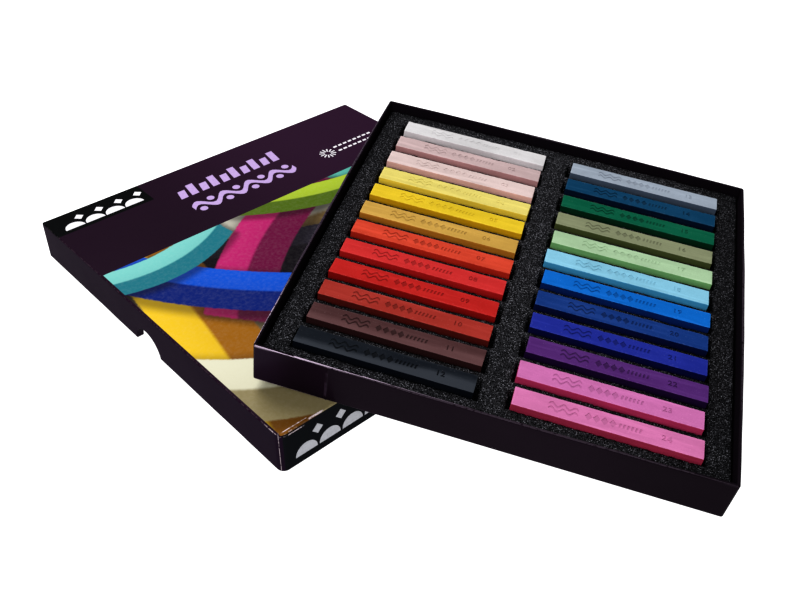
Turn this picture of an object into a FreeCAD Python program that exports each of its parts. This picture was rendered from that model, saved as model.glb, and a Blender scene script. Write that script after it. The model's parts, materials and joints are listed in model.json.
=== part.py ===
import FreeCAD, Part
import os
import Sketcher
from FreeCAD import Vector

# Hard pastel set in a two-piece card box: 24 square sticks in two columns of twelve,
# bedded in a slotted foam insert in a shallow tray, with a lift-off lid.
# The lid lies print side up on the table. The tray leans across it: its floor rests on the
# lid's front top edge, and its lowest corner stands on the table.
# Millimetres, +Z up. X runs along the lid's front edge, and the origin is the bottom centre of the whole.
# The box is sized from its contents outwards: sticks, foam, tray, lid.

SIZES = [
    # one pastel stick, square in section
    ("stick_length", 63.6),
    ("stick_width", 8.1),
    ("stick_bevel", 0.3),
    # foam insert: how the sticks are spaced, and the foam left round them
    ("row_pitch", 12.4),
    ("column_gap", 12.0),
    ("foam_side", 9.4),
    ("foam_back", 8.5),
    ("foam_front", 6.0),
    ("foam_base_thickness", 6.1),
    ("stick_proud", 2.4),
    ("slot_side_gap", 0.3),
    ("slot_end_gap", 1.2),
    ("slot_corner", 0.6),
    ("foam_gap", 0.8),
    # tray
    ("tray_wall", 1.2),
    ("tray_floor", 1.2),
    ("tray_corner", 1.0),
    ("tray_rim", 0.5),
    ("rim_above_sticks", 1.6),
    # lid
    ("lid_clearance", 2.25),
    ("lid_wall", 3.0),
    ("lid_panel", 1.6),
    ("lid_height", 17.5),
    ("lid_corner", 0.8),
    ("lid_worn_corner", 3.0),
    ("lid_fold", 0.6),
    ("notch_width", 18.0),
    ("notch_height", 8.5),
    ("notch_shift", 0.8),
    # how the tray leans on the lid
    ("tray_turn", 58.1),
    ("tray_overhang", 0.3),
    ("tray_sideways", 33.8),
    ("lean_gap", 0.02),
]

# Each column from back to front, with the stick's place in its longer slot:
# -1 is against the slot's left end, 1 against its right end.
LEFT_COLUMN = [
    ("white", 0.8), ("dusty_pink", 0.5), ("pale_pink", 0.0), ("light_yellow", 0.3),
    ("yellow", 0.1), ("ochre", -0.3), ("orange_red", 0.1), ("red", -0.2),
    ("deep_red", -0.5), ("brown_red", -0.3), ("dark_brown", 0.0), ("blue_black", -0.4),
]
RIGHT_COLUMN = [
    ("grey_blue", 0.6), ("petrol_blue", 0.1), ("dark_green", 0.1), ("olive_green", -0.3),
    ("light_green", 0.1), ("light_cyan", -0.9), ("azure", 0.1), ("mid_blue", -0.3),
    ("ultramarine", -0.1), ("violet", 0.7), ("bright_pink", -0.3), ("pink", 0.3),
]
ROWS = len(LEFT_COLUMN)

doc = FreeCAD.newDocument("PastelBox")


# ---------------------------------------------------------------- sizes

def make_sheet():
    """The driving dimensions, one named cell each."""
    sheet = doc.addObject("Spreadsheet::Sheet", "Sizes")
    for line, (alias, value) in enumerate(SIZES, start=1):
        sheet.set("A%d" % line, alias)
        sheet.set("B%d" % line, str(value))
        sheet.setAlias("B%d" % line, alias)
    doc.recompute()
    return sheet


def make_fit():
    """Sizes that follow from the driving ones, worked out from the sticks outwards."""
    fit = doc.addObject("App::VarSet", "Fit")
    rules = [
        ("rows_depth", "%d * Sizes.row_pitch + Sizes.stick_width" % (ROWS - 1)),
        ("foam_width", "2 * Sizes.stick_length + Sizes.column_gap + 2 * Sizes.foam_side"),
        ("foam_depth", "Fit.rows_depth + Sizes.foam_back + Sizes.foam_front"),
        ("bed_height", "Sizes.tray_floor + Sizes.foam_base_thickness"),
        ("tray_width", "Fit.foam_width + 2 * (Sizes.foam_gap + Sizes.tray_wall)"),
        ("tray_depth", "Fit.foam_depth + 2 * (Sizes.foam_gap + Sizes.tray_wall)"),
        ("tray_height", "Fit.bed_height + Sizes.stick_width + Sizes.rim_above_sticks"),
        ("lid_width", "Fit.tray_width + 2 * (Sizes.lid_clearance + Sizes.lid_wall)"),
        ("lid_depth", "Fit.tray_depth + 2 * (Sizes.lid_clearance + Sizes.lid_wall)"),
        ("notch_radius", "(Sizes.notch_width ^ 2 / 4 + Sizes.notch_height ^ 2) / (2 * Sizes.notch_height)"),
        # the tray's half-spans in plan once it is turned, with its rounded corners
        ("core_width", "Fit.tray_width / 2 - Sizes.tray_corner"),
        ("core_depth", "Fit.tray_depth / 2 - Sizes.tray_corner"),
        ("reach", "Fit.core_width * sin(Sizes.tray_turn * 1 deg)"
                  " + Fit.core_depth * cos(Sizes.tray_turn * 1 deg) + Sizes.tray_corner"),
        ("span", "Fit.core_width * cos(Sizes.tray_turn * 1 deg)"
                 " + Fit.core_depth * sin(Sizes.tray_turn * 1 deg) + Sizes.tray_corner"),
        # the lean: the floor is tangent to the lid's rounded edge and the far corner is at table height
        ("edge_radius", "Sizes.lid_fold + Sizes.lean_gap"),
        ("edge_height", "Sizes.lid_height - Sizes.lid_fold"),
        ("lean_arm", "Fit.reach + Sizes.tray_overhang"),
        ("lean", "(atan(Fit.edge_radius / Fit.lean_arm)"
                 " + asin(Fit.edge_height / hypot(Fit.lean_arm; Fit.edge_radius))) / 1 deg"),
        ("tray_y", "Sizes.lid_fold - Fit.lid_depth / 2 - Fit.edge_radius * sin(Fit.lean * 1 deg)"
                   " - Sizes.tray_overhang * cos(Fit.lean * 1 deg)"),
        ("tray_z", "Fit.reach * sin(Fit.lean * 1 deg)"),
        # the whole object's box, measured from the lid's centre
        ("low_x", "min(-Fit.lid_width / 2; Sizes.tray_sideways - Fit.span)"),
        ("high_x", "max(Fit.lid_width / 2; Sizes.tray_sideways + Fit.span)"),
        ("low_y", "Fit.tray_y - (Fit.reach - Sizes.tray_rim) * cos(Fit.lean * 1 deg)"
                  " - (Fit.tray_height - Sizes.tray_rim) * sin(Fit.lean * 1 deg) - Sizes.tray_rim"),
        ("high_y", "max(Fit.lid_depth / 2; Fit.tray_y + Fit.reach * cos(Fit.lean * 1 deg))"),
    ]
    for name, rule in rules:
        fit.addProperty("App::PropertyFloat", name)
        fit.setExpression(name, rule)
    doc.recompute()
    return fit


def make_seats():
    """Two axis systems that carry everything: the lid's bottom centre and the tray's bottom centre."""
    lid_seat = doc.addObject("Part::LocalCoordinateSystem", "LidSeat")
    lid_seat.setExpression(
        "Placement",
        "placement(vector(-(Fit.low_x + Fit.high_x) / 2; -(Fit.low_y + Fit.high_y) / 2; 0); rotation(0; 0; 0))")
    tray_seat = doc.addObject("Part::LocalCoordinateSystem", "TraySeat")
    tray_seat.setExpression(
        "Placement",
        "LidSeat.Placement"
        " * placement(vector(Sizes.tray_sideways; Fit.tray_y; Fit.tray_z); rotation(vector(1; 0; 0); Fit.lean))"
        " * placement(vector(0; 0; 0); rotation(vector(0; 0; 1); -Sizes.tray_turn))")
    doc.recompute()


# ---------------------------------------------------------------- helpers

def make_body(label, seat, at="vector(0; 0; 0)"):
    """A body that stands at a point of one of the two seats."""
    body = doc.addObject("PartDesign::Body", label)
    body.Label = label
    body.setExpression("Placement", "%s.Placement * placement(%s; rotation(0; 0; 0))" % (seat, at))
    return body


def make_sketch(body, name, plane, height=None):
    """An empty sketch on one of the body's own origin planes, raised by an expression if given."""
    sketch = body.newObject("Sketcher::SketchObject", name)
    origin_plane = [o for o in body.Origin.OriginFeatures if o.Role == plane][0]
    sketch.AttachmentSupport = (origin_plane, [""])
    sketch.MapMode = "FlatFace"
    if height:
        sketch.setExpression("AttachmentOffset.Base.z", height)
    return sketch


def add_rectangle(sketch, width, depth):
    """Four lines with two bound sizes; the caller places them. Returns the first line's number."""
    first = sketch.GeometryCount
    corners = [Vector(-1, -1, 0), Vector(1, -1, 0), Vector(1, 1, 0), Vector(-1, 1, 0)]
    for start, end in zip(corners, corners[1:] + corners[:1]):
        sketch.addGeometry(Part.LineSegment(start, end))
    for side in range(4):
        sketch.addConstraint(Sketcher.Constraint("Coincident", first + side, 2, first + (side + 1) % 4, 1))
    for side in (0, 2):
        sketch.addConstraint(Sketcher.Constraint("Horizontal", first + side))
        sketch.addConstraint(Sketcher.Constraint("Vertical", first + side + 1))
    bind(sketch, Sketcher.Constraint("DistanceX", first, 1, first, 2, 2), width)
    bind(sketch, Sketcher.Constraint("DistanceY", first + 1, 1, first + 1, 2, 2), depth)
    return first


def add_centred_rectangle(sketch, width, depth):
    """A rectangle whose opposite corners are symmetric about the sketch's origin."""
    first = add_rectangle(sketch, width, depth)
    sketch.addConstraint(Sketcher.Constraint("Symmetric", first, 1, first + 2, 1, -1, 1))


def bind(sketch, constraint, rule):
    """Adds a constraint whose value is worked out from the sheet."""
    number = sketch.addConstraint(constraint)
    sketch.setExpression("Constraints[%d]" % number, rule)


def make_pad(body, name, sketch, length):
    pad = body.newObject("PartDesign::Pad", name)
    pad.Profile = sketch
    pad.setExpression("Length", length)
    sketch.Visibility = False
    doc.recompute()
    return pad


def make_pocket(body, name, sketch, length, upwards=False):
    pocket = body.newObject("PartDesign::Pocket", name)
    pocket.Profile = sketch
    pocket.Reversed = upwards
    pocket.setExpression("Length", length)
    before = body.Shape.Volume
    doc.recompute()
    assert body.Shape.Volume < before, name + " cuts nothing"
    return pocket


def edges_where(shape, wanted):
    """Names of the edges for which wanted(edge) is true."""
    return ["Edge%d" % number for number, edge in enumerate(shape.Edges, start=1) if wanted(edge)]


def is_upright(edge):
    return abs(edge.tangentAt(edge.FirstParameter).z) > 0.999


def at_front_left(edge, shape):
    """True for an edge in the front left quarter of the shape."""
    spot, middle = edge.Vertexes[0].Point, shape.BoundBox.Center
    return spot.x < middle.x and spot.y < middle.y


def make_fillet(body, name, base, edges, radius):
    fillet = body.newObject("PartDesign::Fillet", name)
    fillet.Base = (base, edges)
    fillet.setExpression("Radius", radius)
    doc.recompute()
    return fillet


# ---------------------------------------------------------------- lid

def make_lid():
    """Shallow card lid, open below, with one crushed corner and a thumb notch in each side wall."""
    lid = make_body("lid", "LidSeat")
    outline = make_sketch(lid, "LidOutline", "XY_Plane")
    add_centred_rectangle(outline, "Fit.lid_width", "Fit.lid_depth")
    block = make_pad(lid, "LidBlock", outline, "Sizes.lid_height")
    crisp = edges_where(block.Shape, lambda edge: is_upright(edge) and not at_front_left(edge, block.Shape))
    crisp_corners = make_fillet(lid, "LidCorners", block, crisp, "Sizes.lid_corner")
    worn = edges_where(
        crisp_corners.Shape, lambda edge: is_upright(edge) and at_front_left(edge, crisp_corners.Shape))
    corners = make_fillet(lid, "WornCorner", crisp_corners, worn, "Sizes.lid_worn_corner")
    top = corners.Shape.BoundBox.ZMax
    top_edges = edges_where(corners.Shape, lambda edge: edge.BoundBox.ZMin > top - 0.001)
    make_fillet(lid, "LidFolds", corners, top_edges, "Sizes.lid_fold")
    hollow = make_sketch(lid, "LidHollow", "XY_Plane")
    add_centred_rectangle(hollow, "Fit.lid_width - 2 * Sizes.lid_wall", "Fit.lid_depth - 2 * Sizes.lid_wall")
    make_pocket(lid, "LidInside", hollow, "Sizes.lid_height - Sizes.lid_panel", upwards=True)
    notch = make_sketch(lid, "NotchArc", "YZ_Plane")
    notch.addGeometry(Part.Circle(Vector(1, -1, 0), Vector(0, 0, 1), 2))
    bind(notch, Sketcher.Constraint("Radius", 0, 2), "Fit.notch_radius")
    bind(notch, Sketcher.Constraint("DistanceX", -1, 1, 0, 3, 1), "Sizes.notch_shift")
    bind(notch, Sketcher.Constraint("DistanceY", 0, 3, -1, 1, 1), "Fit.notch_radius - Sizes.notch_height")
    cut = make_pocket(lid, "ThumbNotches", notch, "Fit.lid_width + 2 * Sizes.lid_wall")
    cut.Midplane = True
    return lid


# ---------------------------------------------------------------- tray and foam

def make_tray():
    """Shallow open tray with one even wall all round and a rounded rim."""
    tray = make_body("tray", "TraySeat")
    outline = make_sketch(tray, "TrayOutline", "XY_Plane")
    add_centred_rectangle(outline, "Fit.tray_width", "Fit.tray_depth")
    block = make_pad(tray, "TrayBlock", outline, "Fit.tray_height")
    make_fillet(tray, "TrayCorners", block, edges_where(block.Shape, is_upright), "Sizes.tray_corner")
    hollow = make_sketch(tray, "TrayHollow", "XY_Plane", "Fit.tray_height")
    add_centred_rectangle(hollow, "Fit.tray_width - 2 * Sizes.tray_wall", "Fit.tray_depth - 2 * Sizes.tray_wall")
    inside = make_pocket(tray, "TrayInside", hollow, "Fit.tray_height - Sizes.tray_floor")
    rim = inside.Shape.BoundBox.ZMax
    rim_edges = edges_where(inside.Shape, lambda edge: edge.BoundBox.ZMin > rim - 0.001)
    make_fillet(tray, "TrayRim", inside, rim_edges, "Sizes.tray_rim")
    return tray


def make_foam_base():
    """Plain sheet of foam that the sticks lie on."""
    base = make_body("foam_base", "TraySeat", "vector(0; 0; Sizes.tray_floor)")
    outline = make_sketch(base, "BaseOutline", "XY_Plane")
    add_centred_rectangle(outline, "Fit.foam_width", "Fit.foam_depth")
    make_pad(base, "BaseSheet", outline, "Sizes.foam_base_thickness")
    return base


def make_foam_slotted():
    """Die-cut sheet of foam: a pair of through slots for the front row, repeated back row by row."""
    foam = make_body("foam_slotted", "TraySeat", "vector(0; 0; Fit.bed_height)")
    outline = make_sketch(foam, "SlottedOutline", "XY_Plane")
    add_centred_rectangle(outline, "Fit.foam_width", "Fit.foam_depth")
    make_pad(foam, "SlottedSheet", outline, "Sizes.stick_width - Sizes.stick_proud")
    pair = make_sketch(foam, "SlotPair", "XY_Plane", "Sizes.stick_width - Sizes.stick_proud")
    slot_length = "Sizes.stick_length + 2 * Sizes.slot_end_gap"
    slot_width = "Sizes.stick_width + 2 * Sizes.slot_side_gap"
    left = add_rectangle(pair, slot_length, slot_width)
    right = add_rectangle(pair, slot_length, slot_width)
    to_slot = "Sizes.column_gap / 2 - Sizes.slot_end_gap"
    to_front = "Fit.foam_depth / 2 - Sizes.foam_front + Sizes.slot_side_gap"
    bind(pair, Sketcher.Constraint("DistanceX", left, 2, -1, 1, 1), to_slot)
    bind(pair, Sketcher.Constraint("DistanceX", -1, 1, right, 1, 1), to_slot)
    bind(pair, Sketcher.Constraint("DistanceY", left, 1, -1, 1, 1), to_front)
    bind(pair, Sketcher.Constraint("DistanceY", right, 1, -1, 1, 1), to_front)
    slots = make_pocket(foam, "FrontSlots", pair, "Sizes.stick_width")
    rows = foam.newObject("PartDesign::LinearPattern", "SlotRows")
    rows.Originals = [slots]
    rows.Direction = (pair, ["V_Axis"])
    rows.Occurrences = ROWS
    rows.setExpression("Length", "%d * Sizes.row_pitch" % (ROWS - 1))
    foam.Tip = rows
    doc.recompute()
    slot_edges = edges_where(rows.Shape, lambda edge: is_upright(edge) and not at_outer_corner(edge, rows.Shape))
    make_fillet(foam, "SlotCorners", rows, slot_edges, "Sizes.slot_corner")
    return foam


def at_outer_corner(edge, shape):
    """True for an upright edge at one of the shape's four outer corners."""
    box = shape.BoundBox
    spot = edge.Vertexes[0].Point
    return min(abs(spot.x - box.XMin), abs(spot.x - box.XMax)) < 0.001


# ---------------------------------------------------------------- pastels

def make_pastel(label, left_end, row, share):
    """One square stick with bevelled edges, lying on the foam base in its slot."""
    play = "(Sizes.slot_end_gap - Sizes.slot_side_gap)"
    at = ("vector(%s + (%.1f) * %s; Fit.foam_depth / 2 - Sizes.foam_back - Sizes.stick_width"
          " - %d * Sizes.row_pitch; Fit.bed_height)" % (left_end, share, play, row))
    pastel = make_body(label, "TraySeat", at)
    bar = pastel.newObject("PartDesign::AdditiveBox", "Bar_" + label)
    bar.setExpression("Length", "Sizes.stick_length")
    bar.setExpression("Width", "Sizes.stick_width")
    bar.setExpression("Height", "Sizes.stick_width")
    doc.recompute()
    bevel = pastel.newObject("PartDesign::Chamfer", "Bevel_" + label)
    bevel.Base = (bar, edges_where(bar.Shape, lambda edge: True))
    bevel.setExpression("Size", "Sizes.stick_bevel")
    return pastel


def make_pastels():
    columns = [
        ("-Sizes.column_gap / 2 - Sizes.stick_length", LEFT_COLUMN),
        ("Sizes.column_gap / 2", RIGHT_COLUMN),
    ]
    pastels = []
    for left_end, colours in columns:
        for row, (colour, share) in enumerate(colours):
            label = "pastel_%02d_%s" % (len(pastels) + 1, colour)
            pastels.append(make_pastel(label, left_end, row, share))
    return pastels


# ---------------------------------------------------------------- build and export

def check_and_export(subparts):
    """Stops on any failed object or shape, then writes one file per sub-part."""
    doc.recompute()
    for thing in doc.Objects:
        assert not {"Invalid", "Error"} & set(thing.State), thing.Name + " failed"
    for subpart in subparts:
        assert not subpart.Shape.isNull() and subpart.Shape.isValid(), subpart.Label + " has a bad shape"
        assert len(subpart.Shape.Solids) == 1, subpart.Label + " is not one solid"
    os.makedirs("parts", exist_ok=True)
    for subpart in subparts:
        subpart.Shape.exportStep("parts/%s.step" % subpart.Label)
        print("%-24s %9.1f mm3" % (subpart.Label, subpart.Shape.Volume))


make_sheet()
make_fit()
make_seats()
check_and_export([make_lid(), make_tray(), make_foam_base(), make_foam_slotted()] + make_pastels())
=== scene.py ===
import json
import math
import random

import bmesh
import bpy
import numpy as np
from mathutils import Matrix, Vector, noise


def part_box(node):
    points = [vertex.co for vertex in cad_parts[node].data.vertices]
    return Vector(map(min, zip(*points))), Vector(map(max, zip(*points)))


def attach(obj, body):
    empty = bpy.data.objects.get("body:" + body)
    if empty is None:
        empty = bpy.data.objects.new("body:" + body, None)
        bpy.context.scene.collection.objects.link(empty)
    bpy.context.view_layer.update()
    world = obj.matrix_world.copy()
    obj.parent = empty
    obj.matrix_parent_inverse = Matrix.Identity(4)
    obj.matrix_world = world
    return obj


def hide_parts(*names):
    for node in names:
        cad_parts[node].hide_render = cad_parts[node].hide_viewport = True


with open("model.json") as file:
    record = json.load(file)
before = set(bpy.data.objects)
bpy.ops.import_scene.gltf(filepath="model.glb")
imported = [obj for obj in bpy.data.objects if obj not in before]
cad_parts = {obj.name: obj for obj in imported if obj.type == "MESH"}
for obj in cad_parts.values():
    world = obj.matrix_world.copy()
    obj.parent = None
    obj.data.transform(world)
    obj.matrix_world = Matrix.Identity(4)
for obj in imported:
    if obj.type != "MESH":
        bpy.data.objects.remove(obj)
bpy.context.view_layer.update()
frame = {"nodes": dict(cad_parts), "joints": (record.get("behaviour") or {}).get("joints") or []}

# Hard pastel set in a two-piece card box: a printed lid, a tray that leans on it,
# a slotted foam insert and 24 square pastel sticks. Metres; MM turns millimetres into them.
MM = 0.001

# ---- places and sizes

LID = "lid"
TRAY = "tray"
FOAM = "foam_slotted"
FOAM_BED = "foam_base"
STICKS = sorted(name for name in frame["nodes"] if name.startswith("pastel_"))
ROWS = len(STICKS) // 2


def centre(node):
    """The middle of a node's box at rest."""
    low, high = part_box(node)
    return (low + high) / 2


def local_box(node, seat):
    """Lowest and highest corner of a node, measured along the axes of a seat."""
    to_seat = seat.inverted()
    points = np.array([to_seat @ v.co for v in frame["nodes"][node].data.vertices])
    return Vector(points.min(0)), Vector(points.max(0))


def tray_seat():
    """The tray's own axes: Z is the way the sticks lift out, Y runs from the front row to the back row."""
    lift = next(j for j in frame["joints"] if j["name"].startswith("pastel_01"))
    up = Vector(lift["axis"]).normalized()
    along_rows = centre("pastel_03_pale_pink") - centre("pastel_11_dark_brown")
    back = (along_rows - up * along_rows.dot(up)).normalized()
    axes = Matrix((back.cross(up), back, up)).transposed().to_4x4()
    low, high = local_box(TRAY, axes)
    bottom_centre = Vector(((low.x + high.x) / 2, (low.y + high.y) / 2, low.z))
    return Matrix.Translation(axes @ bottom_centre) @ axes


def lid_seat():
    """The lid's own axes, from the middle of its rim on the table."""
    low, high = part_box(LID)
    return Matrix.Translation(((low.x + high.x) / 2, (low.y + high.y) / 2, low.z))


TRAY_SEAT = tray_seat()
LID_SEAT = lid_seat()

TRAY_LOW, TRAY_HIGH = local_box(TRAY, TRAY_SEAT)
FOAM_LOW, FOAM_HIGH = local_box(FOAM, TRAY_SEAT)
BED_LOW, BED_HIGH = local_box(FOAM_BED, TRAY_SEAT)
LID_LOW, LID_HIGH = local_box(LID, LID_SEAT)
STICK_LOW, STICK_HIGH = local_box(STICKS[0], TRAY_SEAT)
STICK_SIZE = STICK_HIGH - STICK_LOW

# Walls, corners, notches and gaps are the CAD model's own sizes.
TRAY_WALL = 1.2 * MM
TRAY_FLOOR = BED_LOW.z
TRAY_CORNERS = [1.0 * MM] * 4

LID_WALL = 3.0 * MM
LID_PANEL = 1.6 * MM
LID_CORNERS = [radius * MM for radius in (3.0, 0.8, 0.8, 0.8)]
LID_FOLD = 0.6 * MM
NOTCH_WIDTH = 18.0 * MM
NOTCH_HEIGHT = 8.5 * MM
NOTCH_SHIFT = 0.8 * MM

SLOT_SIDE_GAP = 0.3 * MM
SLOT_END_GAP = 1.2 * MM
COLUMN_GAP = 12.0 * MM

# These are finer than the CAD model, and only in this scene.
TRAY_BOW = 0.8 * MM
TRAY_RIPPLE = 0.2 * MM
TRAY_FOLD = 0.25 * MM
SEAM_SHARE = 0.16
SEAM_WIDTH = 0.5 * MM
SEAM_RISE = 0.18 * MM

LID_EDGE = 0.3 * MM
LID_RIPPLE = 0.12 * MM
LID_TOP_DEPTH = 0.4 * MM
HEADER_DEPTH = 53.7 * MM
PICTURE_MARGIN = 1.0 * MM
BADGE = Vector((46.4, 16.2)) * MM
PRINT_THICKNESS = 0.03 * MM


# ---- meshes

def add_piece(name, mesh, seat, body, *materials):
    """An object standing on a seat that rides on a body."""
    piece = bpy.data.objects.new(name, mesh)
    bpy.context.scene.collection.objects.link(piece)
    piece.matrix_world = seat
    for material in materials:
        mesh.materials.append(material)
    if body:
        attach(piece, body)
    return piece


def smooth(piece, angle=35):
    """Smooth shading that breaks at folds sharper than the angle in degrees. Large flat faces
    keep their own normal beside the small rounded ones."""
    piece.data.shade_smooth()
    piece.data.set_sharp_from_angle(angle=math.radians(angle))
    modifier = piece.modifiers.new("weighted", "WEIGHTED_NORMAL")
    modifier.keep_sharp = True


def bake_modifiers(piece):
    """Turns a piece's modifiers into its own mesh."""
    graph = bpy.context.evaluated_depsgraph_get()
    mesh = bpy.data.meshes.new_from_object(piece.evaluated_get(graph))
    piece.modifiers.clear()
    piece.data = mesh


def cut(piece, cutter):
    """Takes the cutter's shape out of the piece; the new faces keep the cutter's material."""
    modifier = piece.modifiers.new("cut", "BOOLEAN")
    modifier.object = cutter
    modifier.solver = "EXACT"
    modifier.material_mode = "TRANSFER"
    bake_modifiers(piece)
    bpy.data.objects.remove(cutter)


def new_mesh(name, points, faces):
    """A mesh from its points and the point numbers of its faces."""
    mesh = bpy.data.meshes.new(name)
    mesh.from_pydata(points, [], faces)
    mesh.validate()
    return mesh


def finish_mesh(work, name):
    """The finished bmesh as a mesh."""
    mesh = bpy.data.meshes.new(name)
    work.to_mesh(mesh)
    work.free()
    return mesh


CORNER_SIGNS = [(-1, -1), (1, -1), (1, 1), (-1, 1)]
CORNER_STEPS = 5
SIDE_STEPS = 48
SEAM_STEP = 0.0012
LEAST_CORNER = 0.3 * MM
RIPPLES_PER_METRE = 60


def side_shares(seam=None):
    """Where a side has points, from 0 to 1, with a close group round a seam."""
    shares = set(np.linspace(0, 1, SIDE_STEPS)[1:-1])
    if seam:
        shares |= {seam + k * SEAM_STEP for k in range(-3, 4)}
    return sorted(shares)


def drawn_in(radii, inset):
    """Corner radii of a skin that lies inside another."""
    return [max(radius - inset, LEAST_CORNER) for radius in radii]


def ring(width, depth, radii, height, bow=0.0, seam=None, ripple=0.0):
    """A rounded rectangle as a closed run of points, starting at the front side's left end, with a
    radius for each corner from the front left one round to the back left one.
    The sides swell by bow, ripple unevenly, and the front one has a raised seam."""
    middles = [Vector((sx * (width / 2 - radius), sy * (depth / 2 - radius)))
               for (sx, sy), radius in zip(CORNER_SIGNS, radii)]
    points = []
    for number in range(4):
        for step in range(CORNER_STEPS + 1):
            angle = math.radians(180 + 90 * number + 90 * step / CORNER_STEPS)
            outward = Vector((math.cos(angle), math.sin(angle)))
            points.append(middles[number] + radii[number] * outward)
        start = points[-1]
        after = (number + 1) % 4
        end = middles[after] + radii[after] * outward
        for share in side_shares(seam if number == 0 else None):
            from_middle = 2 * share - 1
            spot = start.lerp(end, share)
            uneven = noise.noise(Vector((spot.x, spot.y, height)) * RIPPLES_PER_METRE)
            swell = bow * (1 - from_middle ** 2) + ripple * uneven * (1 - from_middle ** 4)
            if seam and number == 0:
                swell += SEAM_RISE * math.exp(-((share - seam) * width / SEAM_WIDTH * 2) ** 2)
            points.append(spot + outward * swell)
    return [(p.x, p.y, height) for p in points]


def loft(name, rings):
    """A closed skin through rings with the same number of points, capped at both ends."""
    count = len(rings[0])
    points = [p for one in rings for p in one]
    faces = [tuple(reversed(range(count)))]
    for level in range(len(rings) - 1):
        for k in range(count):
            after = (k + 1) % count
            faces.append((level * count + k, level * count + after,
                          (level + 1) * count + after, (level + 1) * count + k))
    faces.append(tuple(range((len(rings) - 1) * count, len(rings) * count)))
    mesh = new_mesh(name, points, faces)
    work = bmesh.new()
    work.from_mesh(mesh)
    bmesh.ops.recalc_face_normals(work, faces=work.faces)
    work.to_mesh(mesh)
    work.free()
    return mesh


def arc(inset, height, radius, start, end, steps=4):
    """Part of a circle, as (inset, height) or (x, y) pairs; angles in degrees from the first axis."""
    angles = [math.radians(start + (end - start) * k / steps) for k in range(steps + 1)]
    return [(inset + radius * math.cos(a), height + radius * math.sin(a)) for a in angles]


def raise_outline(work, outline, base, thickness):
    """Adds a flat shape standing on z = base to a bmesh, from a closed outline in metres."""
    face = work.faces.new([work.verts.new((x, y, base)) for x, y in outline])
    grown = bmesh.ops.extrude_face_region(work, geom=[face])
    raised = [v for v in grown["geom"] if isinstance(v, bmesh.types.BMVert)]
    bmesh.ops.translate(work, verts=raised, vec=(0, 0, thickness))


def slab(name, outlines, seat, body, thickness, base, material):
    """Flat shapes of one thickness as one piece."""
    work = bmesh.new()
    for outline in outlines:
        raise_outline(work, outline, base, thickness)
    bmesh.ops.recalc_face_normals(work, faces=work.faces)
    return add_piece(name, finish_mesh(work, name), seat, body, material)


def lies_inside(face, width, depth, inset):
    """Whether a face's middle is further in than the inset from a box's outline."""
    return max(abs(face.center.x) - width / 2, abs(face.center.y) - depth / 2) < -inset


# ---- outlines for the ornament

def disc(x, y, radius, steps=24):
    """A round dot about its middle."""
    return arc(x, y, radius, 0, 360, steps)[:-1]


def half_disc(x, y, radius):
    """A dome about the middle of its flat side."""
    return arc(x, y, radius, 0, 180, 16)


def slanted_bar(x, y, width, height, slant):
    """A bar from its lower left corner, with its top shifted by slant."""
    return [(x, y), (x + width, y), (x + width + slant, y + height), (x + slant, y + height)]


def lozenge(x, y, width, height):
    """A square on its tip, about its middle."""
    return [(x - width / 2, y), (x, y - height / 2), (x + width / 2, y), (x, y + height / 2)]


def wave(x, y, length, thickness, swing, periods, steps=40):
    """A ribbon that rises and falls along x."""
    along = [k / steps for k in range(steps + 1)]
    line = [(x + length * s, y + swing * math.sin(2 * math.pi * periods * s)) for s in along]
    upper = [(px, py + thickness / 2) for px, py in reversed(line)]
    return [(px, py - thickness / 2) for px, py in line] + upper


def burst(x, y, inner, outer, rays):
    """Thin rays round a bare middle, half as wide again at their tips."""
    shapes = []
    for k in range(rays):
        turn = 2 * math.pi * k / rays
        along = Vector((math.cos(turn), math.sin(turn)))
        across = Vector((-along.y, along.x)) * inner * 0.16
        tip = across * 1.5
        a, b = along * inner, along * outer
        shapes.append([(x + p.x, y + p.y) for p in (a - across, b - tip, b + tip, a + across)])
    return shapes


# ---- shader building

WHITE = (1.0, 1.0, 1.0, 1.0)
BLACK = (0.0, 0.0, 0.0, 1.0)


def srgb(red, green, blue):
    """A screen colour, 0 to 255 a channel, as linear light."""
    def linear(value):
        share = value / 255
        return share / 12.92 if share <= 0.04045 else ((share + 0.055) / 1.055) ** 2.4
    return (linear(red), linear(green), linear(blue), 1.0)


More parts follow.
